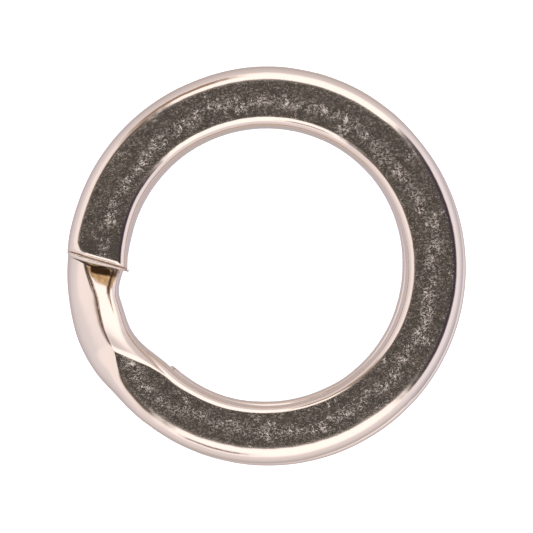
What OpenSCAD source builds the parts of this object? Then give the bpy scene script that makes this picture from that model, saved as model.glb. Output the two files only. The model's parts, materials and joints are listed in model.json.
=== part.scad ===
// Split key ring. One hollow gold tube is wound into two flat turns, one on the other.
// A crank carries the tube from the upper turn down to the lower one, and a soldered plate closes each free end.
// The tube springs open by twisting, so each turn is five stiff arcs that twist against each other.
// Angles are measured anticlockwise from +X, seen from above. The turns lie flat, and the lower one rests on z = 0.

/* [Ring] */
// Outside diameter of the two turns
ring_d = 24; // [22:0.5:30]
// Height of one turn of tube
tube_h = 1.9; // [1.7:0.1:2.4]
// Radial width of the upper turn
upper_w = 3.5; // [3.2:0.1:4]
// How much further in the lower turn reaches than the upper one
lower_step_in = 0.2; // [0.1:0.05:0.3]
// Sheet thickness of the tube
wall = 0.3; // [0.2:0.05:0.35]
// Closed gap between the two turns
turn_gap = 0.05; // [0.04:0.01:0.1]
// How far each turn's outside sits off centre, one each way
sway = 0.1; // [0.05:0.05:0.15]

/* [Edges] */
// Rounding of the outer edge of the faces that show
outer_round = 0.7; // [0.5:0.05:0.8]
// Rounding of the inner edge of the faces that show
inner_round = 0.5; // [0.4:0.05:0.7]
// Rounding of the edges where the turns meet
mating_round = 0.3; // [0.2:0.05:0.35]

/* [Crank] */
// Angle where the top face starts down, at its inner edge
top_fold_in_deg = 232; // [228:1:234]
// Angle where the top face starts down, at its outer edge
top_fold_out_deg = 210; // [208:1:220]
// Angle where the underside starts down, at its inner edge
low_fold_in_deg = 221; // [217:1:222]
// Angle where the underside starts down, at its outer edge
low_fold_out_deg = 214; // [210:1:220]
// Angle where the tube has reached the lower turn
crank_foot_deg = 183; // [183:1:186]
// How far the inner side bows outwards in the crank
crank_bow_in = 0.55; // [0.3:0.05:0.6]
// How far the outer side bows outwards in the crank
crank_bow_out = 0.25; // [0:0.05:0.3]

/* [Free ends] */
// Angle of the upper free end
upper_end_deg = 179.3; // [176:0.1:180]
// Slant of the upper free end
upper_end_slant = 15; // [0:1:16]
// Angle of the lower free end
lower_end_deg = 224.5; // [224:0.1:228]
// Slant of the lower free end
lower_end_slant = 8; // [0:1:10]
// Thickness of the end plates
plate_t = 0.22; // [0.15:0.01:0.3]
// How far the upper plate stands proud into the eye
plate_lip = 0.12; // [0:0.02:0.15]
// Thickness of the solder under each plate
solder_t = 0.06; // [0.04:0.01:0.1]

/* [Hidden] */

$fn = 96;
gold = [0.87, 0.74, 0.64];
solder_grey = [0.55, 0.48, 0.38];

// The two turns: outside and inside radii, the direction in which the outside sits off centre, and the levels
turn_r = ring_d / 2 - sway;
upper_r_in = turn_r - upper_w;
lower_r_in = upper_r_in - lower_step_in;
upper_sway_deg = 140;
lower_sway_deg = upper_sway_deg + 180;
rise = tube_h + turn_gap;
mid_r = (turn_r + upper_r_in) / 2;

// The crank lies between these two angles, and each turn has the same arcs from there to its free end
upper_crank_deg = 238;
lower_crank_deg = 165;
arcs = 5;
arc_span = 60;
run_on = 12;
// A length well past the ring, for cutting shapes
reach = ring_d;

// How far the solder stands back from the surface
solder_recess = 0.04;
smallest_round = 0.05;

// ---- cross-sections -------------------------------------------------------

// Rim of a disc of radius r from z = 0 to z = h, with its edges rounded by low and high.
module disc_outline(r, h, low, high) {
    square([r - low, h / 2]);
    translate([0, h / 2]) square([r - high, h / 2]);
    translate([0, low]) square([r, h - low - high]);
    translate([r - low, low]) circle(low);
    translate([r - high, h - high]) circle(high);
}

// The hole of radius r that is cut from that disc, opened out where its edges are rounded.
module eye_outline(r, h, low, high) {
    translate([0, -1]) square([r, h + 2]);
    difference() {
        translate([0, h - high]) square([r + high, high + 1]);
        translate([r + high, h - high]) circle(high);
    }
    difference() {
        translate([0, -1]) square([r + low, low + 1]);
        translate([r + low, low]) circle(low);
    }
}

function inset_round(r, inset) = max(smallest_round, r - inset);

// A whole turn of tube as a solid ring, shrunk all over by inset.
// The edges that show are on top of the upper turn and underneath the lower one.
module turn(is_upper, inset = 0, lip = 0) {
    r_in = (is_upper ? upper_r_in : lower_r_in) + inset - lip;
    h = tube_h - 2 * inset;
    out_show = inset_round(outer_round, inset);
    in_show = inset_round(inner_round, inset);
    mate = inset_round(mating_round, inset);
    sway_deg = is_upper ? upper_sway_deg : lower_sway_deg;
    translate([0, 0, (is_upper ? rise : 0) + inset])
        difference() {
            translate([sway * cos(sway_deg), sway * sin(sway_deg), 0])
                rotate_extrude()
                    if (is_upper) disc_outline(turn_r - inset, h, mate, out_show);
                    else disc_outline(turn_r - inset, h, out_show, mate);
            rotate_extrude()
                if (is_upper) eye_outline(r_in, h, mate, in_show);
                else eye_outline(r_in, h, in_show, mate);
        }
}

// A pie slice from angle a to angle b, taller than the ring.
module slice(a, b) {
    steps = 4;
    translate([0, 0, -1])
        linear_extrude(2 * rise + 2)
            polygon(concat([[0, 0]], [
                for (i = [0:steps])
                    let (t = a + (b - a) * i / steps)
                    reach * [cos(t), sin(t)]
            ]));
}

// A slab across the tube at a free end. It lies between from and to, measured outwards from the end face.
module end_slab(is_upper, from, to) {
    at = is_upper ? upper_end_deg : lower_end_deg;
    turned = is_upper ? upper_end_deg - upper_end_slant : lower_end_deg - 180 - lower_end_slant;
    translate([mid_r * cos(at), mid_r * sin(at), 0])
        rotate([0, 0, turned])
            translate([-reach / 4, from, -1])
                cube([reach / 2, to - from, 2 * rise + 2]);
}

// ---- arcs of the two turns ------------------------------------------------

// Arc number i of a turn, counted from the crank. The last one runs on past the free end and is cut off there.
module arc(is_upper, i) {
    is_last = i == arcs;
    onwards = is_upper ? 1 : -1;
    near = (is_upper ? upper_crank_deg - 360 : lower_crank_deg) + onwards * arc_span * (i - 1);
    far = near + onwards * (is_last ? arc_span + run_on : arc_span);
    color(gold)
        difference() {
            intersection() {
                turn(is_upper);
                slice(min(near, far), max(near, far));
            }
            turn(is_upper, wall);
            if (is_last) end_slab(is_upper, -plate_t - solder_t, reach);
        }
}

module end_plate(is_upper) {
    color(gold)
        intersection() {
            turn(is_upper, 0, is_upper ? plate_lip : 0);
            end_slab(is_upper, -plate_t, 0);
        }
}

module plate_solder(is_upper) {
    color(solder_grey)
        intersection() {
            difference() {
                turn(is_upper, solder_recess);
                turn(is_upper, wall);
            }
            end_slab(is_upper, -plate_t - solder_t, -plate_t);
        }
}

// ---- crank ----------------------------------------------------------------

crank_rings = 46;
corner_steps = 5;
face_steps = 6;
// Share of the slope that is taken up by its rounded ends
bend_share = 0.3;

// Rises from 0 to 1 with a straight middle and rounded ends.
function eased(s) =
    s <= 0 ? 0 :
    s >= 1 ? 1 :
    s < bend_share ? s * s / (2 * bend_share * (1 - bend_share)) :
    s > 1 - bend_share ? 1 - (1 - s) * (1 - s) / (2 * bend_share * (1 - bend_share)) :
    (s - bend_share / 2) / (1 - bend_share);

// 0 at the upper turn and 1 at the lower one.
function along(t) = (upper_crank_deg - t) / (upper_crank_deg - lower_crank_deg);
function blend(t) = eased(along(t));
function bow(t) = pow(sin(180 * along(t)), 2);
function mix(a, b, s) = a + (b - a) * s;

// Distance from the ring's centre to a circle of radius turn_r that sits off centre by sway.
function off_centre(t, sway_deg) =
    sway * cos(t - sway_deg) + sqrt(pow(turn_r, 2) - pow(sway * sin(t - sway_deg), 2));

function crank_r_in(t) = mix(upper_r_in, lower_r_in, blend(t)) + crank_bow_in * bow(t);
function crank_r_out(t) =
    mix(off_centre(t, upper_sway_deg), off_centre(t, lower_sway_deg), blend(t)) + crank_bow_out * bow(t);

// The fold runs slantwise: the inner edge starts down before the outer one, so the tube leans inwards on its way.
fold_r = [9, 10.5];
function outwards(r) = max(0, min(1, (r - fold_r[0]) / (fold_r[1] - fold_r[0])));
function slope_z(t, from) = rise * (1 - eased((from - t) / (from - crank_foot_deg)));
function crank_low_z(t, r) = slope_z(t, mix(low_fold_in_deg, low_fold_out_deg, outwards(r)));
function crank_top_z(t, r) = tube_h + slope_z(t, mix(top_fold_in_deg, top_fold_out_deg, outwards(r)));

// Width and height of each rounded edge. The upper outer one is broadest on the slope.
top_bow = [0.75, 0.25];
function top_out(t) = [for (k = [0, 1]) mix(outer_round, mating_round, blend(t)) + top_bow[k] * bow(t)];
function top_in(t) = mix(inner_round, mating_round, blend(t)) + 0.2 * bow(t);
function low_out(t) = mix(mating_round, outer_round, blend(t));
function low_in(t) = mix(mating_round, inner_round, blend(t));

// A quarter of an ellipse of the given width and height, round [r, 0] from the angle first.
function corner(r, size, first) = [
    for (i = [0:corner_steps])
        let (a = first + 90 * i / corner_steps)
        [r + size[0] * cos(a), size[1] * sin(a)]
];

// Points between two radii on a face, without its ends.
function face(from, to) = [for (i = [1:face_steps - 1]) [mix(from, to, i / face_steps), 0]];

function shrunk(size, inset) = [for (k = [0, 1]) max(smallest_round, size[k] - inset)];

// The crank's section at angle t, shrunk all round by inset: a list of [radius, height].
function crank_section(t, inset) =
    let (
        r0 = crank_r_in(t) + inset,
        r1 = crank_r_out(t) - inset,
        lo = shrunk([low_out(t), low_out(t)], inset),
        to = shrunk(top_out(t), inset),
        ti = shrunk([top_in(t), top_in(t)], inset),
        li = shrunk([low_in(t), low_in(t)], inset),
        under_out = corner(r1 - lo[0], lo, -90),
        over_out = corner(r1 - to[0], to, 0),
        over_in = corner(r0 + ti[0], ti, 90),
        under_in = corner(r0 + li[0], li, 180)
    )
    concat(
        [for (p = under_out) [p[0], crank_low_z(t, p[0]) + inset + lo[1] + p[1]]],
        [for (p = over_out) [p[0], crank_top_z(t, p[0]) - inset - to[1] + p[1]]],
        [for (p = face(r1 - to[0], r0 + ti[0])) [p[0], crank_top_z(t, p[0]) - inset]],
        [for (p = over_in) [p[0], crank_top_z(t, p[0]) - inset - ti[1] + p[1]]],
        [for (p = under_in) [p[0], crank_low_z(t, p[0]) + inset + li[1] + p[1]]],
        [for (p = face(r0 + li[0], r1 - lo[0])) [p[0], crank_low_z(t, p[0]) + inset]]
    );

module crank() {
    n = 4 * (corner_steps + 1) + 2 * (face_steps - 1);
    rings = crank_rings + 1;
    angles = [
        for (i = [0:crank_rings])
            mix(upper_crank_deg, lower_crank_deg, i / crank_rings)
    ];
    points = [
        for (inset = [0, wall], t = angles, p = crank_section(t, inset))
            [p[0] * cos(t), p[0] * sin(t), p[1]]
    ];
    inner = rings * n;
    skin = [
        for (i = [0:crank_rings - 1], j = [0:n - 1])
            let (a = i * n + j, b = i * n + (j + 1) % n)
            each [[a, b, a + n], [b, b + n, a + n]]
    ];
    bore = [for (f = skin) [f[2] + inner, f[1] + inner, f[0] + inner]];
    ends = [
        for (j = [0:n - 1])
            let (a = j, b = (j + 1) % n, c = crank_rings * n + j, d = crank_rings * n + (j + 1) % n)
            each [
                [a, a + inner, b], [b, a + inner, b + inner],
                [c, d, c + inner], [d, d + inner, c + inner]
            ]
    ];
    color(gold) polyhedron(points, concat(skin, bore, ends));
}

crank();
for (i = [1:arcs]) {
    arc(true, i);
    arc(false, i);
}
end_plate(true);  // upper_end_plate
plate_solder(true);  // upper_plate_solder
end_plate(false);  // lower_end_plate
plate_solder(false);  // lower_plate_solder
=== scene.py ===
"""Split key ring: a hollow gold tube wound into two flat turns, with a cranked step between them.

The tube's skin is one surface, worked out over its whole length and then cut into pieces at the middle of
the crank and of each stiff CAD arc, so that no piece reaches across more than one hinge. Lengths inside this
script are in millimetres and angles in degrees, anticlockwise from +X. The angle t runs on along the tube
without wrapping round: it starts at the upper free end, goes clockwise through the upper turn, the crank and
the lower turn, and ends at the lower free end. Where a shape changes along the tube, step() and swell() give
the angles t of the change.
"""

import json
import math

import bpy
import numpy as np
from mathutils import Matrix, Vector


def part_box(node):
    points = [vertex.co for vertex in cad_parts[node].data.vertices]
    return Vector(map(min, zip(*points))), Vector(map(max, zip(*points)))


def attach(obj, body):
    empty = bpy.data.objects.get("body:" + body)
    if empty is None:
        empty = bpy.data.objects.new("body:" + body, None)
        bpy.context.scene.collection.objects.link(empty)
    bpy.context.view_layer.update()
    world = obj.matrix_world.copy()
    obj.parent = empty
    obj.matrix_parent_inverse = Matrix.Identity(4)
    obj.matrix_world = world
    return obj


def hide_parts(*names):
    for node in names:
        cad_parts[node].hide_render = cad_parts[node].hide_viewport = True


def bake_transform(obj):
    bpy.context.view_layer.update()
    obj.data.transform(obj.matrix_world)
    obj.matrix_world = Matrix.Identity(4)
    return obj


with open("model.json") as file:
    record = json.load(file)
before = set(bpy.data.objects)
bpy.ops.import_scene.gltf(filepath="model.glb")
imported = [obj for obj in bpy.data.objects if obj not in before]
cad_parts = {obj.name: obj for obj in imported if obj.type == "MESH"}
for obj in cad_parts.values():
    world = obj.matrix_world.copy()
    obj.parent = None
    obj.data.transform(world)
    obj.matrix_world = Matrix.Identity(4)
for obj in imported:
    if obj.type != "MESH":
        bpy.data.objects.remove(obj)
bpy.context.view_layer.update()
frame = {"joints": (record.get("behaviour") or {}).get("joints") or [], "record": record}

MM = 0.001

# ---- the CAD's sizes -------------------------------------------------------

upper_low, _ = (np.array(p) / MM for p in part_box("upper_arc_3"))
lower_low, lower_high = (np.array(p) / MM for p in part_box("lower_arc_3"))
eye = next(m for m in frame["record"]["mounts"] if m["name"] == "eye")

TUBE_H = lower_high[2] - lower_low[2]
RISE = upper_low[2]
TURN_R = 11.9  # outside radius of a turn; outer_radius() adds to it where a turn stands out a little
LOWER_R_IN = eye["dims"]["r_mm"]
UPPER_R_IN = LOWER_R_IN + 0.2
MID_R = (TURN_R + UPPER_R_IN) / 2
HALF_WIDTH = (TURN_R - UPPER_R_IN) / 2
WALL = 0.3

# The crank runs between two angles. Each free end is a plane through MID_R at its angle, turned by its slant.
CRANK_TOP, CRANK_FOOT = -122.0, -195.0
UPPER_END, UPPER_SLANT = 179.4, 15.4
LOWER_END, LOWER_SLANT = -495.5, 8.0
PLATE_T = 0.2
SOLDER_T = 0.05


# ---- small tools for shapes ------------------------------------------------

def mix(a, b, s):
    return a + (b - a) * s


def step(low, high, x):
    """0 at low, 1 at high, smooth between. low may be the larger one."""
    s = np.clip((x - low) / (high - low), 0, 1)
    return s * s * (3 - 2 * s)


def swell(t, rise_from, rise_to, fall_from, fall_to):
    """1 between rise_to and fall_from, 0 outside rise_from and fall_to."""
    return step(rise_from, rise_to, t) * step(fall_to, fall_from, t)


def eased(s, share):
    """Rises from 0 to 1 with a straight middle and rounded ends, each taking that share of the way."""
    s = np.clip(s, 0, 1)
    k = 2 * share * (1 - share)
    middle = (s - share / 2) / (1 - share)
    return np.where(s < share, s * s / k, np.where(s > 1 - share, 1 - (1 - s) ** 2 / k, middle))


def waves(points, size, seed, count=28):
    """Smooth random waves of about that size in mm, mostly between -1 and 1."""
    rng = np.random.default_rng(seed)
    ways = rng.normal(size=(count, 3))
    ways *= (2 * math.pi / size / np.linalg.norm(ways, axis=1) * rng.uniform(0.6, 1.5, count))[:, None]
    phases = rng.uniform(0, 2 * math.pi, count)
    return np.sin(points @ ways.T + phases).sum(axis=-1) / math.sqrt(count)


# ---- the tube's course -----------------------------------------------------

def along_crank(t):
    """0 on the upper turn, 1 on the lower one."""
    return np.clip((CRANK_TOP - t) / (CRANK_TOP - CRANK_FOOT), 0, 1)


def inner_radius(t):
    """The eye's side. It bows out, away from the eye's middle, along the crank."""
    upper = UPPER_R_IN - 0.05 + 0.06 * swell(t, 110, 135, 152, 172)
    lower = LOWER_R_IN - 0.02 + 0.14 * step(-375, -312, t)
    lower = lower - 0.04 * swell(t, -460, -448, -428, -415) + 0.03 * step(-455, -470, t)
    bow = 0.66 * swell(t, -185, -168, -157, -134) + 0.09 * swell(t, -195, -178, -172, -163)
    return mix(upper, lower, eased(along_crank(t), 0.3)) + bow


def outer_radius(t):
    """The outer side. It stands furthest out towards 140 degrees on the upper turn and 320 on the lower."""
    proud_top = 0.09 * swell(t, 20, 68, 90, 115)
    flare = 0.05 * step(160, 172, t)
    upper = TURN_R - 0.03 + 0.07 * np.cos(np.radians(t - 140)) + proud_top + flare
    lower = TURN_R + 0.14 * np.cos(np.radians(t - 320))
    bow = 0.22 * swell(t, -200, -178, -160, -137) + 0.08 * swell(t, -174, -156, -148, -139)
    return mix(upper, lower, eased(along_crank(t), 0.3)) + bow


def fall(t, start, foot, share_top, share_foot):
    """Height above the lower turn of a face that starts down at the angle start and is down at foot.

    share_top and share_foot are the shares of the way over which it is rounded, at its top and at its foot.
    """
    s = (start - t) / (start - foot)
    k_top, k_foot = 1 / (2 * share_top), 1 / (2 * share_foot)
    straight = 1 - (share_top + share_foot) / 2
    s = np.clip(s, 0, 1)
    top, end = s * s * k_top, straight - (1 - s) ** 2 * k_foot
    done = np.where(s < share_top, top, np.where(s > 1 - share_foot, end, s - share_top / 2)) / straight
    return RISE * (1 - done)


FOLD_FROM_R = 8.86
FOLD_ACROSS = 1.57


def outwards(r):
    """0 at the tube's inner side and 1 at its outer side. The fold runs in a curve between them."""
    return np.clip((r - FOLD_FROM_R) / FOLD_ACROSS, 0.001, 1) ** 0.6


def under_z(t, r):
    """The bottom face."""
    start = mix(-139.0, -146.0, outwards(r))
    return fall(t, start, -177.0, share_top=0.3, share_foot=0.3)


def fold_angle(r):
    """Where the top face folds down."""
    return mix(-129.5, -150.0, outwards(r))


def over_z(t, r):
    """The top face. Down the slope it is hollow along its outer side and swollen along its inner side."""
    foot = mix(-177.2, -182.4, (r - 8.4) / 3.1)
    down = 1 - fall(t, fold_angle(r), foot, share_top=0.13, share_foot=0.03) / RISE
    hollow = 0.40 * np.clip((r - 9.6) / 0.9, -1, 1)
    return TUBE_H + RISE * (1 - down - hollow * down * (1 - down))


# ---- rounded edges: width across and height of each ------------------------

MATING_ROUND = 0.3


def over_out_round(t):
    """On the upper turn the broadest of the four, and broader still on the slope and at the free end."""
    broad = 0.27 * swell(t, -125, -105, -62, -30) + 0.08 * swell(t, 45, 62, 105, 125)
    on_slope = 0.25 * swell(t, -190, -175, -125, -105) + 0.55 * swell(t, -184, -168, -152, -143)
    upper = 0.88 + broad + on_slope + 0.8 * step(UPPER_END - 6, UPPER_END, t)
    on_lower = step(-182, -193, t)
    width = mix(upper, MATING_ROUND, on_lower)
    height = mix(0.70 + 0.5 * swell(t, -200, -176, -152, -130), MATING_ROUND, on_lower)
    return width, height


def over_out_crease(t):
    """How many degrees short of flat the outer rounding stops, so that it meets the top face in a crease."""
    return 60.0 * swell(t, -190, -180, -150, -139)


def over_in_round(t):
    """Broad from the upper free end round to the ring's right-hand side, and narrowest at the bottom."""
    upper = 0.48 + 0.25 * step(-75, -10, t) + 0.14 * step(-85, -118, t)
    on_slope = 0.12 * swell(t, -165, -145, -132, -118) - 0.08 * step(-155, -178, t)
    size = mix(upper + on_slope, MATING_ROUND, step(-181, -192, t))
    return size, np.minimum(size, 0.7)


def under_out_round(t):
    size = mix(MATING_ROUND, 0.65, eased(along_crank(t), 0.3))
    return size, size


def under_in_round(t):
    size = mix(MATING_ROUND, 0.5, eased(along_crank(t), 0.3))
    return size, size


# ---- free ends -------------------------------------------------------------

class EndPlane:
    """The flat cut across one free end. x runs outwards along it, and depth runs out of the tube.

    onwards is 1 where the tube ends facing anticlockwise, and -1 where it ends facing clockwise.
    """

    def __init__(self, angle, slant, onwards):
        self.angle = angle
        self.middle = MID_R * self.at(angle)
        self.x_way = self.at(angle - slant)
        self.out = onwards * np.array([-self.x_way[1], self.x_way[0]])

    @staticmethod
    def at(angle):
        a = math.radians(angle)
        return np.array([math.cos(a), math.sin(a)])

    def x_of(self, r, depth):
        """x at which the plane at this depth crosses the circle of radius r."""
        middle = self.middle + np.multiply.outer(depth, self.out)
        along = middle @ self.x_way
        return -along + np.sqrt(along * along - ((middle * middle).sum(axis=-1) - r * r))

    def points(self, r, depth, z):
        """Points of the plane at this depth, where it crosses the circles of radius r."""
        r, depth, z = np.broadcast_arrays(np.asarray(r, float), depth, z)
        x = self.x_of(r, depth)
        xy = self.middle + x[..., None] * self.x_way + depth[..., None] * self.out
        return np.concatenate([xy, z[..., None]], axis=-1)

    def turn_of(self, r, depth):
        """How many degrees the plane at this depth is ahead of its own middle, on the circle of radius r."""
        p = self.points(r, depth, 0.0)
        q = self.points(MID_R, depth, 0.0)
        gap = np.degrees(np.arctan2(p[..., 1], p[..., 0]) - math.atan2(q[1], q[0]))
        return (gap + 180) % 360 - 180

    def middle_angle(self, depth):
        q = self.points(MID_R, depth, 0.0)
        a = math.degrees(math.atan2(q[1], q[0]))
        return self.angle + (a - self.angle + 180) % 360 - 180


upper_end = EndPlane(UPPER_END, UPPER_SLANT, 1)
lower_end = EndPlane(LOWER_END, LOWER_SLANT, -1)
TUBE_STOP = -(PLATE_T + SOLDER_T)
UPPER_STOP = upper_end.middle_angle(TUBE_STOP)
LOWER_STOP = lower_end.middle_angle(TUBE_STOP)


def from_end(t):
    """Distance in mm from the nearer cut end of the tube, along its middle."""
    return np.radians(np.minimum(UPPER_STOP - t, t - LOWER_STOP)) * MID_R


# ---- the skin --------------------------------------------------------------

CORNER_STEPS = 22
FACE_STEPS = 26
SIDE_STEPS = 5
CROWN = 0.014
END_FILED = 0.36  # how far back from a free end its upper edge is filed down


def corner(r, size, first):
    """A quarter of an ellipse centred at the radius r, as radius and as height above its centre."""
    a = np.radians(first + 90 * np.linspace(0, 1, CORNER_STEPS + 1))
    return r[:, None] + size[0][:, None] * np.cos(a), size[1][:, None] * np.sin(a)


def creased_corner(r, size, short):
    """The outer upper corner, stretched so that it stops short of flat by that many degrees."""
    stop = np.radians(90 - short)[:, None]
    a = stop * np.linspace(0, 1, CORNER_STEPS + 1)
    across = (np.cos(a) - np.cos(stop)) / (1 - np.cos(stop))
    return r[:, None] + size[0][:, None] * across, size[1][:, None] * np.sin(a) / np.sin(stop)


def between(a, b, steps, ends=0.0):
    """Points from a to b without the two ends. ends draws them together towards both."""
    s = np.linspace(0, 1, steps + 1)[1:-1]
    s = mix(s, (1 - np.cos(math.pi * s)) / 2, ends)
    return mix(a[:, None], b[:, None], s)


def outline(t, inset=0.0):
    """The tube's outline at each angle t, as radius and height."""
    t = np.atleast_1d(np.asarray(t, float))
    full = np.ones_like(t)
    inside = inner_radius(t) + inset
    outside = outer_radius(t) - inset

    def shrunk(size):
        return [np.maximum(0.05, s * full - inset) for s in size]

    under_out, over_out = shrunk(under_out_round(t)), shrunk(over_out_round(t))
    over_in, under_in = shrunk(over_in_round(t)), shrunk(under_in_round(t))
    tt = t[:, None]
    filed_depth = np.where(t > 0, 0.20, 0.03)
    near_end = 1 - np.clip(from_end(t) / END_FILED, 0, 1)
    end_drop = filed_depth * (1 - np.sqrt(np.clip(1 - near_end ** 2, 0, 1)))

    def above(r, up, size):
        crown = CROWN * (1 - ((r - MID_R) / HALF_WIDTH) ** 2)
        return over_z(tt, r) - inset - end_drop[:, None] + crown - size[1][:, None] + up

    def below(r, up, size):
        return under_z(tt, r) + inset + size[1][:, None] + up

    level = [np.zeros_like(t), np.zeros_like(t)]
    parts = []
    r, up = corner(outside - under_out[0], under_out, -90)
    parts.append((r, below(r, up, under_out)))
    r_a, z_a = r[:, -1], parts[-1][1][:, -1]
    r, up = creased_corner(outside - over_out[0], over_out, over_out_crease(t))
    over = (r, above(r, up, over_out))
    parts.append((between(r_a, r[:, 0], SIDE_STEPS), between(z_a, over[1][:, 0], SIDE_STEPS)))
    parts.append(over)
    r = between(outside - over_out[0], inside + over_in[0], FACE_STEPS, 0.6)
    parts.append((r, above(r, 0, level)))
    r, up = corner(inside + over_in[0], over_in, 90)
    parts.append((r, above(r, up, over_in)))
    r_a, z_a = r[:, -1], parts[-1][1][:, -1]
    r, up = corner(inside + under_in[0], under_in, 180)
    under = (r, below(r, up, under_in))
    parts.append((between(r_a, r[:, 0], SIDE_STEPS), between(z_a, under[1][:, 0], SIDE_STEPS)))
    parts.append(under)
    r = between(inside + under_in[0], outside - under_out[0], FACE_STEPS // 3)
    parts.append((r, below(r, 0, level)))
    radius = np.concatenate([p[0] for p in parts], axis=1)
    height = np.concatenate([p[1] for p in parts], axis=1)
    return radius, height


LEAN = 9.0  # degrees over which the rows turn into the plane of a free end


def skin(t, inset=0.0):
    """The surface at each angle t, as points in space and their radii.

    Rows near a free end turn into the plane of its cut.
    """
    radius, height = outline(t, inset)
    upper = np.clip((t - (UPPER_STOP - LEAN)) / LEAN, 0, 1)[:, None]
    lower = np.clip(((LOWER_STOP + LEAN) - t) / LEAN, 0, 1)[:, None]
    turn = t[:, None] + upper * upper_end.turn_of(radius, TUBE_STOP)
    turn = turn + lower * lower_end.turn_of(radius, TUBE_STOP)
    a = np.radians(turn)
    return np.stack([radius * np.cos(a), radius * np.sin(a), height], axis=-1), radius


def grid_normals(points):
    """Outward normals of a grid whose rows are closed loops."""
    d_row = np.gradient(points, axis=0)
    d_loop = np.roll(points, -1, axis=1) - np.roll(points, 1, axis=1)
    n = np.cross(d_loop, d_row)
    return n / np.linalg.norm(n, axis=-1, keepdims=True)


# The skin is cut at the middle of each stiff arc, and at the middle of the crank.
ARC = 60.0
UPPER_CUTS = [CRANK_TOP + ARC * (4.5 - i) for i in range(5)]
CRANK_CUT = (CRANK_TOP + CRANK_FOOT) / 2
LOWER_CUTS = [CRANK_FOOT - ARC * (0.5 + i) for i in range(5)]
ROW_STEP = 0.5
TIP_ROWS = 90


def all_rows():
    """The angles of the grid's rows: even, but closer together on the crank and towards the free ends."""
    plain = [
        np.arange(UPPER_CUTS[0], CRANK_TOP, -ROW_STEP),
        np.arange(CRANK_TOP, CRANK_FOOT, -ROW_STEP / 2),
        np.arange(CRANK_FOOT, LOWER_CUTS[-1] - 0.01, -ROW_STEP),
    ]
    closing = 1 - (1 - np.linspace(0, 1, TIP_ROWS)) ** 1.8
    upper_tip = mix(UPPER_CUTS[0], UPPER_STOP, closing)[:0:-1]
    lower_tip = mix(LOWER_CUTS[-1], LOWER_STOP, closing)[1:]
    return np.concatenate([upper_tip, *plain, lower_tip])


def wavy(points, normals):
    """The surface with the slight waviness of hand-drawn and polished tube."""
    depth = 0.0035 * waves(points, 2.4, 3) + 0.0012 * waves(points, 0.8, 5)
    return points + normals * depth[..., None]


def dented(points, t, radius):
    """The grooves along both sides of the slope, and how far each point is from the nearest dark mark.

    The dark marks are dirt and painted shade in the two grooves, painted shade on the inner wall by the
    slope's foot, and a painted shadow in a strip under the plate.
    """
    outer_edge = (outer_radius(t) - over_out_round(t)[0])[:, None]
    inner_edge = (inner_radius(t) + over_in_round(t)[0])[:, None] + 0.05
    t = t[:, None]
    outer_part = swell(t, -186, -181, -155, -149)
    inner_part = swell(t, -186, -181, -172, -160)
    on_top = points[..., 2] > over_z(t, radius) - 0.7
    depth = 0.035 * outer_part * np.exp(-((radius - outer_edge) / 0.06) ** 2)
    depth = depth + 0.05 * inner_part * np.exp(-((radius - inner_edge) / 0.09) ** 2)
    out = points.copy()
    out[..., 2] -= depth * on_top

    outer_far = np.abs(radius - outer_edge) + 0.3 * (1 - outer_part)
    inner_far = np.abs(radius - inner_edge) * 0.7 + 0.3 * (1 - inner_part)
    beside_edge = swell(radius, inner_edge - 0.6, inner_edge - 0.35, inner_edge, inner_edge + 0.05)
    # Painted shade on the inner wall by the slope's foot.
    wall_far = 0.045 + 0.3 * (1 - beside_edge)
    wall_far = wall_far + 0.2 * (1 - swell(t, -188, -184, -178, -167))
    # Painted shadow in a strip under the plate's overhang.
    from_plate = (points[..., :2] - upper_end.middle) @ upper_end.out - 0.16
    under_plate = np.maximum(0, np.abs(from_plate - 0.1) - 0.14 - 0.1 * step(9.3, 10.2, radius))
    under_plate = under_plate + 0.3 * (1 - swell(radius, 9.25, 9.45, 10.5, 10.8))
    under_plate = under_plate + 0.3 * (1 - swell(t, -186, -184, -174, -172))
    far = np.minimum(np.minimum(outer_far, inner_far), np.minimum(wall_far, under_plate))
    return out, np.where(on_top, far, 1.0)


def matt_and_painted_dark_part(t, r, normals):
    """1 where the tube is worn matt, and where its flats are painted dark as a painted reflection of the dark
    ceiling: its outer flat faces, but not the slope or the faces that meet.

    The matt and the painted dark reach further over the rounded edges at the ring's left and right than at
    its top and bottom.
    """
    level = step(0.15, 0.11, np.hypot(0.45 * normals[..., 0], normals[..., 1]))
    start = fold_angle(r)
    polished_above = step(start + 0.4, start - 0.8, t)
    polished_below = step(-186, -182, t)
    return level * (1 - np.where(normals[..., 2] > 0, polished_above, polished_below))


rows = all_rows()
skin_points, skin_radius = skin(rows)
skin_points, skin_dirt_and_shade = dented(skin_points, rows, skin_radius)
skin_points = wavy(skin_points, grid_normals(skin_points))
skin_normals = grid_normals(skin_points)
skin_flat = matt_and_painted_dark_part(rows[:, None], skin_radius, skin_normals)


# ---- meshes ----------------------------------------------------------------

def store(mesh, name, values):
    """Keeps one number, or one vector, for each vertex, for the materials to read."""
    values = np.asarray(values, np.float32)
    kind = "FLOAT_VECTOR" if values.ndim == 2 else "FLOAT"
    attribute = mesh.attributes.new(name, kind, "POINT")
    attribute.data.foreach_set("vector" if values.ndim == 2 else "value", values.ravel())


def make_mesh(name, points, faces, material, normals=None, slot="rose_gold", **attributes):
    """A smooth mesh object. points are in mm. normals, where given, has one for each corner of each face."""
    mesh = bpy.data.meshes.new(name)
    points = np.asarray(points, float).reshape(-1, 3)
    mesh.from_pydata((points * MM).tolist(), [], faces)
    mesh.validate()
    mesh.polygons.foreach_set("use_smooth", np.ones(len(mesh.polygons), bool))
    store(mesh, "rest", points)
    for key, values in attributes.items():
        store(mesh, key, values)
    if normals is not None:
        mesh.normals_split_custom_set(normals)
    mesh.materials.append(material)
    made = bpy.data.objects.new(name, mesh)
    bpy.context.scene.collection.objects.link(made)
    return made


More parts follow.
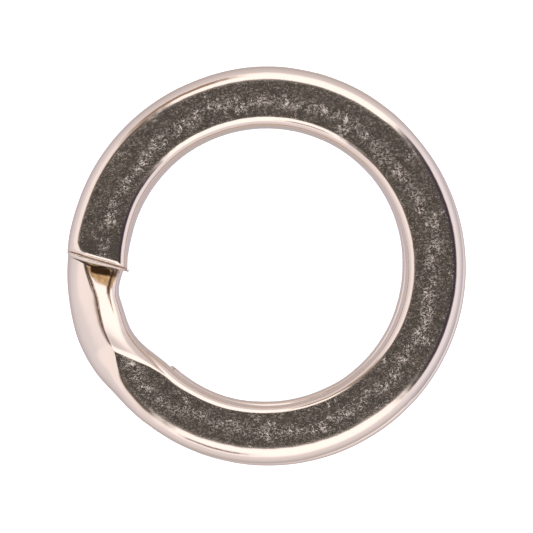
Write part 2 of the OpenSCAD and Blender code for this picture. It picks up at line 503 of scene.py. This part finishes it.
def loop_quads(rows_n, loop_n, offset=0, flip=False):
    """Quads of a grid of closed loops."""
    i, j = np.meshgrid(np.arange(rows_n - 1), np.arange(loop_n), indexing="ij")
    a, b = i * loop_n + j, i * loop_n + (j + 1) % loop_n
    quads = np.stack([a, b, b + loop_n, a + loop_n], axis=-1).reshape(-1, 4) + offset
    return quads[:, ::-1] if flip else quads


INNER_ROW_STEP = 6  # the inner skin has every sixth row of the outer one


def tube_piece(name, first, last, material):
    """The hollow stretch of tube between two rows of the grid: outer skin, inner skin and the two rims."""
    outer = skin_points[first:last + 1]
    n_rows, n_loop = outer.shape[:2]
    picked = np.unique(np.append(np.arange(0, n_rows, INNER_ROW_STEP), n_rows - 1))
    inner, _ = skin(rows[first:last + 1][picked], WALL)
    start = n_rows * n_loop
    outer_quads = loop_quads(n_rows, n_loop)
    inner_quads = loop_quads(len(picked), n_loop, start, flip=True)
    j = np.arange(n_loop)
    k = (j + 1) % n_loop
    near = np.stack([k, j, j + start, k + start], axis=-1)
    far_out, far_in = (n_rows - 1) * n_loop, start + (len(picked) - 1) * n_loop
    far = np.stack([j + far_out, k + far_out, k + far_in, j + far_in], axis=-1)
    quads = np.concatenate([outer_quads, inner_quads, near, far])
    points = np.concatenate([outer.reshape(-1, 3), inner.reshape(-1, 3)])
    inner_normals = -grid_normals(inner).reshape(-1, 3)
    vertex_normals = np.concatenate([skin_normals[first:last + 1].reshape(-1, 3), inner_normals])
    loop_normals = vertex_normals[quads]
    for rim, from_row in ((near, len(outer_quads) + len(inner_quads)), (far, len(quads) - n_loop)):
        corners = points[rim]
        n = np.cross(corners[:, 1] - corners[:, 0], corners[:, 2] - corners[:, 0])
        n /= np.linalg.norm(n, axis=1, keepdims=True)
        loop_normals[from_row:from_row + n_loop] = n[:, None, :]

    def on_both(outside, inside):
        return np.concatenate([outside.ravel(), np.full(len(inner) * n_loop, inside)])

    return make_mesh(
        name, points, quads.tolist(), material, loop_normals.reshape(-1, 3),
        flat=on_both(skin_flat[first:last + 1], 0),
        crease=on_both(skin_dirt_and_shade[first:last + 1], 1),
    )


def joint_pairs():
    """For each hinge: its record, and t where it lies on the tube."""
    found = []
    for joint in frame["joints"]:
        x, y = joint["pos_m"][:2]
        angle = math.degrees(math.atan2(y, x))
        lowest_t = UPPER_STOP - 360 if joint["name"].startswith("upper") else LOWER_STOP
        found.append((joint, lowest_t + (angle - lowest_t) % 360))
    return found


BLEND_REACH = 4.0  # mm to each side of a hinge


def bend_across(piece, joint, onwards):
    """Bakes the piece's transform into its mesh. The piece does not bend at the hinge."""
    pos = np.array(joint["pos_m"])
    tangent = np.array([-pos[1], pos[0], 0]) / math.hypot(pos[0], pos[1]) * onwards
    reach = BLEND_REACH * MM * tangent
    pos - reach
    pos + reach
    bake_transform(piece)


def build_tube(material):
    """The skin in pieces: one across each hinge, and a tip at each free end."""
    cuts = [rows[0], *UPPER_CUTS, CRANK_CUT, *LOWER_CUTS, rows[-1]]
    marks = [int(np.abs(rows - c).argmin()) for c in cuts]
    joints = joint_pairs()
    for first, last in zip(marks, marks[1:]):
        here = [(j, t) for j, t in joints if rows[last] < t < rows[first]]
        if here:
            joint, t = here[0]
            is_upper = t > CRANK_CUT
            number = 1 + round(abs(t - (CRANK_TOP if is_upper else CRANK_FOOT)) / ARC)
            turn = "upper" if is_upper else "lower"
            piece = tube_piece(f"tube_{turn}_{number}", first, last, material)
            bend_across(piece, joint, 1 if is_upper else -1)
            stands_for = [f"{turn}_arc_{number}"] + (["crank"] if number == 1 else [])
            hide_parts(*stands_for)
        else:
            turn = "upper" if first == 0 else "lower"
            piece = tube_piece(f"tube_{turn}_tip", first, last, material)
            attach(piece, f"{turn}_arc_5")
            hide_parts(f"{turn}_arc_5")


# ---- end plates and their solder -------------------------------------------

CLOSING = (0.03, 0.25, 0.5, 0.75, 0.97)
PLATE_STEPS = 9
PLATE_LIP = 0.14  # how far the upper plate reaches past the tube's outline, into the eye
PLATE_INSET = 0.012
SOLDER_DEEP = 0.2


def closed_stack(loops):
    """Points and faces of a solid made of stacked loops, closed by rings that shrink to a middle."""
    def shrinking(loop):
        middle = loop.mean(axis=0)
        return [mix(loop, middle, s) for s in CLOSING]

    stack = shrinking(loops[0])[::-1] + list(loops) + shrinking(loops[-1])
    points = np.concatenate(stack)
    n = len(loops[0])
    faces = loop_quads(len(stack), n).tolist()
    faces.append(list(range(n))[::-1])
    faces.append([(len(stack) - 1) * n + j for j in range(n)])
    return points, faces


def end_outline(stop_t, inset, lip):
    """The tube's outline just before its end, as radius and height. lip widens it into the eye."""
    back_deg = 1.5
    t = np.array([stop_t + (back_deg if stop_t < 0 else -back_deg)])
    radius, height = (part[0] for part in outline(t, inset))
    return radius - lip * step(MID_R, inner_radius(t)[0], radius), height


def end_bulge(r, z):
    """How far the upper plate's free side stands out of its plane: it bulges below and is thin at the eye."""
    low = 1 - step(0.25, 1.0, (z - RISE) / TUBE_H)
    out = (r - MID_R) / HALF_WIDTH
    return 0.24 * np.exp(-((out - 0.25) / 0.42) ** 2) * low - 0.09 * step(0.1, -0.9, out)


def plate_loops(end, stop_t, is_upper):
    """The plate from its soldered side to its free side, with its edge filed round."""
    loops = []
    for a in np.linspace(0, math.pi / 2, PLATE_STEPS):
        share = math.sin(a)
        filed = 0.05 * share + 0.10 * (1 - math.cos(a)) if is_upper else 0.03 * (1 - math.cos(a))
        r, z = end_outline(stop_t, PLATE_INSET + filed, PLATE_LIP if is_upper else 0.0)
        depth = np.full_like(r, -PLATE_T + PLATE_T * share)
        if is_upper:
            depth = depth + share * end_bulge(r, z)
        loops.append(end.points(r, depth, z))
    return loops


def end_plate(turn, material):
    is_upper = turn == "upper"
    end, stop_t = (upper_end, UPPER_STOP) if is_upper else (lower_end, LOWER_STOP)
    loops = plate_loops(end, stop_t, is_upper)
    points, faces = closed_stack(loops)
    if not is_upper:
        faces = [f[::-1] for f in faces]
    points = points + 0.004 * waves(points, 0.5, 11)[:, None] * np.array([*end.out, 0])
    on_free_side = np.arange(len(points)) >= len(points) - len(CLOSING) * len(loops[0])
    # The free side takes the plate's dull gold with painted shade.
    piece = make_mesh(f"{turn}_end_plate_skin", points, faces, material, dull=on_free_side)
    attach(piece, f"{turn}_arc_5")
    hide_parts(f"{turn}_end_plate")


def solder_line(turn, material):
    """The solder squeezed out between the tube's end and the plate: a lumpy ring just below the surface."""
    is_upper = turn == "upper"
    end, stop_t = (upper_end, UPPER_STOP) if is_upper else (lower_end, LOWER_STOP)
    loops = []
    round_shape = np.linspace(0, 2 * math.pi, 12, endpoint=False)
    skin_r, skin_z = end_outline(stop_t, 0.0, 0.0)
    deep_r, deep_z = end_outline(stop_t, SOLDER_DEEP, 0.0)
    drop = 0.10 if is_upper else 0.0
    for a in round_shape:
        share_down = 0.24 + 0.22 * math.cos(a)
        r, z = mix(skin_r, deep_r, share_down), mix(skin_z, deep_z, share_down)
        z = z - drop * step(RISE + 1.5, RISE + TUBE_H, z) * step(11.4, 10.8, r)
        depth = np.full_like(r, -PLATE_T - SOLDER_T / 2 + 0.05 * math.sin(a))
        loops.append(end.points(r, depth, z))
    ring = np.stack(loops)
    n_ring, n = ring.shape[:2]
    points = ring.reshape(-1, 3)
    points = points + 0.01 * waves(points, 0.25, 17)[:, None] * np.array([0, 0, 1])
    i, j = np.meshgrid(np.arange(n_ring), np.arange(n), indexing="ij")
    i2, j2 = (i + 1) % n_ring, (j + 1) % n
    faces = np.stack([i * n + j, i * n + j2, i2 * n + j2, i2 * n + j], axis=-1).reshape(-1, 4)
    if is_upper:
        faces = faces[:, ::-1]
    piece = make_mesh(f"{turn}_plate_solder_line", points, faces.tolist(), material, slot="solder")
    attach(piece, f"{turn}_arc_5")
    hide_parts(f"{turn}_plate_solder")


# ---- nodes -----------------------------------------------------------------

class Field:
    """A value that varies over a surface. Arithmetic on fields builds the shader nodes for it."""

    def __init__(self, tree, socket):
        self.tree, self.socket = tree, socket

    def node(self, kind, *inputs, **settings):
        made = self.tree.nodes.new(kind)
        for key, value in settings.items():
            setattr(made, key, value)
        for i, value in enumerate(inputs):
            if isinstance(value, Field):
                self.tree.links.new(value.socket, made.inputs[i])
            elif value is not None:
                made.inputs[i].default_value = value
        return made

    def field(self, socket):
        return Field(self.tree, socket)

    def math(self, operation, *inputs):
        return self.field(self.node("ShaderNodeMath", self, *inputs, operation=operation).outputs[0])

    def __add__(self, other):
        return self.math("ADD", other)

    def __sub__(self, other):
        return self.math("SUBTRACT", other)

    def __mul__(self, other):
        return self.math("MULTIPLY", other)

    def __truediv__(self, other):
        return self.math("DIVIDE", other)

    def power(self, other):
        return self.math("POWER", other)

    def flipped(self):
        """1 minus this."""
        return self * -1.0 + 1.0

    def smooth(self, low, high):
        """0 at low and 1 at high, smooth between. low may be the larger one."""
        made = self.node("ShaderNodeMapRange", interpolation_type="SMOOTHSTEP")
        self.tree.links.new(self.socket, made.inputs["Value"])
        turned = low > high
        made.inputs["From Min"].default_value = min(low, high)
        made.inputs["From Max"].default_value = max(low, high)
        result = self.field(made.outputs["Result"])
        return result.flipped() if turned else result

    def xyz(self):
        made = self.node("ShaderNodeSeparateXYZ", self)
        return [self.field(made.outputs[i]) for i in range(3)]

    def moved(self, by):
        return self.field(self.node("ShaderNodeVectorMath", self, by, operation="ADD").outputs[0])

    def scaled(self, by):
        made = self.node("ShaderNodeVectorMath", self, operation="SCALE")
        made.inputs["Scale"].default_value = by
        return self.field(made.outputs[0])

    def stretched(self, turn_deg, size):
        """Coordinates turned about Z, and counted in cells of the given size."""
        made = self.node("ShaderNodeMapping", self, vector_type="TEXTURE")
        made.inputs["Rotation"].default_value = (0, 0, math.radians(turn_deg))
        made.inputs["Scale"].default_value = size
        return self.field(made.outputs[0])

    def noise(self, scale, detail=2.0, roughness=0.5, distortion=0.0):
        made = self.node("ShaderNodeTexNoise", self)
        settings = {"Scale": scale, "Detail": detail, "Roughness": roughness, "Distortion": distortion}
        for key, value in settings.items():
            made.inputs[key].default_value = value
        return self.field(made.outputs["Fac"])

    def noise_vector(self, scale, amount):
        """This, pushed about by a soft random field."""
        made = self.node("ShaderNodeTexNoise", self)
        made.inputs["Scale"].default_value = scale
        made.inputs["Detail"].default_value = 1.0
        return self.moved(self.field(made.outputs["Color"]).moved((-0.5, -0.5, -0.5)).scaled(amount))

    def cells(self):
        """Distance to the nearest of the random points, and a random number for that point."""
        made = self.node("ShaderNodeTexVoronoi", self)
        parts = self.node("ShaderNodeSeparateColor", self.field(made.outputs["Color"]))
        return self.field(made.outputs["Distance"]), self.field(parts.outputs["Red"])

    def mixed(self, a, b):
        """Colour a where this is 0 and b where it is 1."""
        made = self.node("ShaderNodeMix", data_type="RGBA")
        self.tree.links.new(self.socket, made.inputs["Factor"])
        for key, value in (("A", a), ("B", b)):
            socket = next(s for s in made.inputs if s.name == key and s.type == "RGBA")
            if isinstance(value, Field):
                self.tree.links.new(value.socket, socket)
            else:
                socket.default_value = (*value, 1.0)
        return self.field(next(s for s in made.outputs if s.type == "RGBA"))


def attribute(tree, name, is_vector=False):
    made = tree.nodes.new("ShaderNodeAttribute")
    made.attribute_name = name
    return Field(tree, made.outputs["Vector" if is_vector else "Fac"])


def new_material(name):
    material = bpy.data.materials.new(name)
    material.use_nodes = True
    tree = material.node_tree
    return material, tree, tree.nodes["Principled BSDF"]


def connect(value, shader, socket):
    value.tree.links.new(value.socket, shader.inputs[socket])


def relief(height, depth_mm, shader, below=None):
    """Bump of that full depth, on top of an earlier one."""
    made = height.node("ShaderNodeBump")
    height.tree.links.new(height.socket, made.inputs["Height"])
    made.inputs["Strength"].default_value = 1.0
    made.inputs["Distance"].default_value = depth_mm * MM
    if below is not None:
        height.tree.links.new(below.socket, made.inputs["Normal"])
    result = height.field(made.outputs["Normal"])
    connect(result, shader, "Normal")
    return result


# ---- materials -------------------------------------------------------------

POLISHED_GOLD = (0.94, 0.785, 0.67), (0.95, 0.79, 0.645)
# Painted dark reflection: the flats' darker gold stands in for the dark ceiling they reflect.
PAINTED_DARK_FLAT_GOLD = (0.42, 0.345, 0.28), (0.59, 0.48, 0.39)
# The plate's free side: partly unpolished gold, partly painted shade.
UNPOLISHED_AND_SHADED_GOLD = (0.50, 0.34, 0.15), (0.92, 0.68, 0.40)
# Scratch colours, lighter than the gold: painted highlights of the light the scratches catch.
FINE_SCRATCH_GLINT = (1.0, 0.85, 0.70)
DEEP_SCRATCH_GLINT = (1.0, 0.91, 0.79)
# Dirt and painted shade, for the grooves, the inner wall by the slope's foot and under the plate.
DIRT_AND_PAINTED_SHADE = (0.16, 0.095, 0.055)
# Painted shade at the bottom of the plate's free side.
PAINTED_SHADE_DARK = (0.05, 0.03, 0.018)
SOLDER = (0.38, 0.28, 0.22), (0.66, 0.52, 0.42)
FILED_SOLDER = (0.90, 0.75, 0.63)
WORN_R = 9.9
WORN_WIDTH = 0.26


def streaks(rest, turn_deg, length, width, fewest, seed):
    """Short straight scratches that all lie one way. fewest is the share of them that is left out."""
    place = rest.moved((seed * 3.7, seed * 1.9, seed * 0.7))
    distance, tint = place.stretched(turn_deg, (length, width, width * 6)).cells()
    return distance.smooth(0.42, 0.26) * tint.smooth(fewest, fewest + 0.14)


def hairs(rest, scale, width, seed):
    """Thin crooked scratches in short lengths: where a soft random field passes its middle value."""
    place = rest.moved((seed * 5.3, seed * 2.1, seed * 1.7))
    away = (place.noise(scale, 2.0, 0.6, 0.6) - 0.5).math("ABSOLUTE")
    broken = place.moved((1.3, 4.1, 2.2)).noise(scale * 1.9, 1.0).smooth(0.49, 0.62)
    return away.smooth(width, width * 0.35) * broken


def every_way(rest, count, length, width, fewest, seed):
    """Layers of bent streaks, each turned on from the last and a little shorter."""
    bent = rest.noise_vector(0.9, 0.35)
    lines = None
    for i in range(count):
        turn_deg = 180 * i / count + 9 * math.sin(5 * i)
        shorter, wider = 1 - 0.06 * i, 1 + 0.08 * (i % 3)
        layer = streaks(bent, turn_deg, length * shorter, width * wider, fewest, i + seed)
        lines = layer if lines is None else lines + layer
    return lines


def gold_material():
    """Polished gold with matt, scratched flats painted dark, painted glints along the scratches, and dirt and
    painted shade in its creases and under the plate.

    The scratches are deepest along the middle of each flat, and the flat's end by the upper plate is spared.
    """
    material, tree, shader = new_material("rose_gold_polished")
    rest = attribute(tree, "rest", is_vector=True)
    flat = attribute(tree, "flat")
    crease = attribute(tree, "crease")
    x, y, _ = rest.xyz()
    radius = (x * x + y * y).power(0.5)

    wander = rest.noise(0.22, 1.0) * 1.4 - 0.7
    middle = ((radius - WORN_R - wander) / WORN_WIDTH).power(2.0) * -1.0
    band = middle.math("EXPONENT")
    patches = rest.noise(1.3, 3.0, 0.65).smooth(0.44, 0.58)
    stray = rest.noise(0.8, 2.0).smooth(0.58, 0.70) * 0.6
    end_x, end_y = upper_end.middle
    from_plate = ((x - end_x).power(2.0) + (y - end_y).power(2.0)).power(0.5)
    spared = from_plate.smooth(1.0, 2.8) * 0.8 + 0.2
    wear = (band * (patches * 1.3 + 0.15) + stray * patches + 0.035) * flat * spared

    thin = every_way(rest, 5, 1.3, 0.15, 0.86, 1) + rest.noise(4.5, 2.0, 0.6).smooth(0.52, 0.74) * 0.3
    fine_scratches_and_glints = (thin * flat * spared).math("MINIMUM", 1.0)
    crooked = hairs(rest, 1.3, 0.013, 1) + hairs(rest, 1.9, 0.016, 2)
    rubbed = (every_way(rest, 6, 1.4, 0.15, 0.87, 21) + crooked) * wear * 2.6
    # Painted glints: short bright strokes over the flats, with real bump and roughness as well.
    nicks_and_glints = every_way(rest, 4, 0.9, 0.19, 0.955, 41) * flat
    deep_scratches_and_glints = (rubbed + nicks_and_glints).math("MINIMUM", 1.0)
    haze = rest.noise(5.0, 4.0, 0.65)

    # Dirt and painted shade: darker in the grooves, on the inner wall by the slope's foot and under the
    # plate.
    grime_and_painted_shade = (crease + haze * 0.10 - 0.05).smooth(0.11, 0.0)
    tone = rest.noise(0.35, 3.0).mixed(*POLISHED_GOLD)
    dull = (haze * 0.45 + rest.noise(1.3, 3.0, 0.6) * 0.55).smooth(0.36, 0.66)
    # The flats are worn matt and painted darker, a painted reflection of the dark ceiling.
    with_painted_dark_flats = flat.mixed(tone, dull.mixed(*PAINTED_DARK_FLAT_GOLD))
    # The scratches' lighter colour is a painted highlight; their bump and roughness are real.
    lined = (fine_scratches_and_glints * 0.20).mixed(with_painted_dark_flats, FINE_SCRATCH_GLINT)
    scratched = deep_scratches_and_glints.mixed(lined, DEEP_SCRATCH_GLINT)
    connect(grime_and_painted_shade.mixed(scratched, DIRT_AND_PAINTED_SHADE), shader, "Base Color")
    shader.inputs["Metallic"].default_value = 1.0

    rough = haze * 0.06 + 0.10 + flat * 0.12 + fine_scratches_and_glints * 0.05 + deep_scratches_and_glints * 0.56 + grime_and_painted_shade * 0.35
    connect(rough.math("MINIMUM", 0.75), shader, "Roughness")
    relief(deep_scratches_and_glints.flipped(), 0.012, shader, relief(fine_scratches_and_glints.flipped(), 0.003, shader))
    return material


def plate_material():
    """Gold sheet: polished round its edge, and dull where the polishing wheel does not reach.

    The free side is a darker, browner gold, partly unpolished and partly painted shade, and darker still
    towards its bottom, a painted shade by the gap beneath the plate.
    """
    material, tree, shader = new_material("rose_gold_plate")
    rest = attribute(tree, "rest", is_vector=True)
    dull = attribute(tree, "dull")
    _, _, z = rest.xyz()
    haze = rest.noise(3.0, 4.0, 0.6)
    # Painted shade: the free side darkens towards its bottom, by the gap beneath the plate.
    painted_shade_low = (z + haze * 0.5).smooth(RISE + 1.05, RISE + 0.55) * z.smooth(RISE - 0.05, RISE + 0.02)
    unpolished_and_shaded = haze.smooth(0.35, 0.65).mixed(*UNPOLISHED_AND_SHADED_GOLD)
    front = painted_shade_low.mixed(unpolished_and_shaded, PAINTED_SHADE_DARK)
    bright = haze.mixed(*POLISHED_GOLD)
    connect(dull.mixed(bright, front), shader, "Base Color")
    shader.inputs["Metallic"].default_value = 1.0
    connect(haze * 0.12 + 0.10 + dull * 0.28, shader, "Roughness")
    relief(rest.noise(6.0, 3.0, 0.6), 0.006, shader)
    return material


def solder_material():
    """Dark blotchy solder, filed bright with the gold on the ring's outer side."""
    material, tree, shader = new_material("solder_dark")
    rest = attribute(tree, "rest", is_vector=True)
    blotch = rest.noise(2.5, 4.0, 0.6)
    colour = blotch.smooth(0.3, 0.7).mixed(*SOLDER)
    x, y, _ = rest.xyz()
    filed = (x * x + y * y).power(0.5).smooth(10.8, 11.4)
    connect(filed.mixed(colour, FILED_SOLDER), shader, "Base Color")
    shader.inputs["Metallic"].default_value = 1.0
    connect(blotch * 0.3 + 0.35, shader, "Roughness")
    relief(rest.noise(9.0, 3.0), 0.01, shader)
    return material


# ---- studio ----------------------------------------------------------------

def studio_world():
    """Pale walls, and a dark ceiling with a soft box on its +Y side and another on its -Y side.

    x, y and z are the way that is looked along. A dark arm crosses the +Y box and a stand the -Y one.
    """
    world = bpy.data.worlds.new("soft_studio")
    bpy.context.scene.world = world
    world.use_nodes = True
    tree = world.node_tree
    background = tree.nodes["Background"]
    coordinates = tree.nodes.new("ShaderNodeTexCoord")
    way = Field(tree, coordinates.outputs["Generated"])
    x, y, z = way.xyz()
    across = x / (y.math("ABSOLUTE") + 0.001)
    to_y = (y * y) / (x * x + y * y + 1e-6)

    near_left = z.smooth(0.35, 0.55).mixed((0.78, 0.79, 0.90), (0.98, 0.97, 1.05))
    along_x = x.smooth(-0.5, 0.5).mixed(near_left, (0.88, 0.92, 1.09))
    along_y = y.smooth(-0.3, 0.3).mixed((0.79, 0.78, 0.88), (0.69, 0.685, 0.765))
    wall = to_y.smooth(0.2, 0.8).mixed(along_x, along_y)
    table = to_y.smooth(0.2, 0.8).mixed((0.54, 0.53, 0.62), (0.50, 0.49, 0.53))
    walls = z.smooth(-0.7, 0.45).mixed(table, wall)

    off_centre = ((x - 0.12) / 0.68).power(2.0) + (y / 0.70).power(2.0)
    ceiling_reach = off_centre.power(0.5)
    blue = x.smooth(0.30, 0.62)
    ceiling = blue.mixed((0.090, 0.088, 0.085), (0.045, 0.040, 0.075))
    overhead = ceiling_reach.smooth(1.03, 0.97) * z.smooth(0.0, 0.1)
    rim = ceiling_reach.smooth(0.93, 0.99) * ceiling_reach.smooth(1.05, 0.99) * z.smooth(0.0, 0.1)
    room = rim.mixed(overhead.mixed(walls, ceiling), (0.36, 0.24, 0.19))

    box = y.math("ABSOLUTE").smooth(0.27, 0.32) * z.smooth(0.40, 0.68)
    box = box * across.smooth(-0.74, -0.55) * across.smooth(1.12, 0.92)
    lit = box.mixed(room, (1.24, 1.25, 1.34))

    arm = across.smooth(-1.3, -0.8) * across.smooth(-0.12, -0.28)
    arm = arm * z.smooth(0.54, 0.60) * z.smooth(0.80, 0.75)
    seen = (arm * y.smooth(0.0, 0.1)).mixed(lit, (0.30, 0.21, 0.16))
    stand = across.smooth(-0.52, -0.40) * across.smooth(-0.06, -0.16)
    stand = stand * z.smooth(0.60, 0.65) * z.smooth(0.76, 0.72)
    colour = (stand * y.smooth(0.0, -0.1)).mixed(seen, (0.22, 0.18, 0.19))
    tree.links.new(colour.socket, background.inputs["Color"])
    background.inputs["Strength"].default_value = 1.0


def floor_material():
    material, tree, shader = new_material("pale_table")
    coordinates = tree.nodes.new("ShaderNodeTexCoord")
    place = Field(tree, coordinates.outputs["Object"])
    colour = place.noise(40.0, 2.0).mixed((0.90, 0.90, 0.90), (0.93, 0.93, 0.93))
    connect(colour, shader, "Base Color")
    connect(colour, shader, "Emission Color")
    shader.inputs["Emission Strength"].default_value = 0.45
    shader.inputs["Roughness"].default_value = 0.8
    shader.inputs["Specular IOR Level"].default_value = 0.0
    return material


def pale_floor():
    """A wide disc under the ring, left out of the gold's reflections so that it doesn't wash them out."""
    reach, steps = 1500.0, 64
    a = np.linspace(0, 2 * math.pi, steps, endpoint=False)
    ring = np.stack([reach * np.cos(a), reach * np.sin(a), np.full(steps, -0.02)], axis=1)
    mesh = bpy.data.meshes.new("floor")
    mesh.from_pydata((ring * MM).tolist(), [], [list(range(steps))])
    mesh.materials.append(floor_material())
    floor = bpy.data.objects.new("floor", mesh)
    bpy.context.scene.collection.objects.link(floor)
    floor.visible_glossy = False


def table_light():
    """A large soft light that only the floor sees."""
    light = bpy.data.lights.new("soft_overhead", "AREA")
    light.shape = "DISK"
    light.size = 0.9
    light.energy = 7.0
    lamp = bpy.data.objects.new("soft_overhead", light)
    bpy.context.scene.collection.objects.link(lamp)
    lamp.location = (0.0, 0.0, 0.8)
    lamp.visible_glossy = False
    lamp.visible_camera = False


CAMERA_DISTANCE = 400.0
FIELD_ACROSS = 32.06
SENSOR = 36.0


def camera_overhead():
    """Straight above, far enough off for a nearly flat view."""
    camera = bpy.data.cameras.new("camera")
    camera.sensor_width = SENSOR
    camera.lens = SENSOR * CAMERA_DISTANCE / FIELD_ACROSS
    camera.clip_start, camera.clip_end = 0.01, 10.0
    made = bpy.data.objects.new("camera", camera)
    bpy.context.scene.collection.objects.link(made)
    made.location = (0.0, 0.0, (CAMERA_DISTANCE + TUBE_H) * MM)
    bpy.context.scene.camera = made


# ---- the whole -------------------------------------------------------------

gold = gold_material()
plate = plate_material()
solder = solder_material()
build_tube(gold)
for turn in ("upper", "lower"):
    end_plate(turn, plate)
    solder_line(turn, solder)

studio_world()
pale_floor()
table_light()
camera_overhead()
bpy.context.scene.view_settings.view_transform = "Standard"
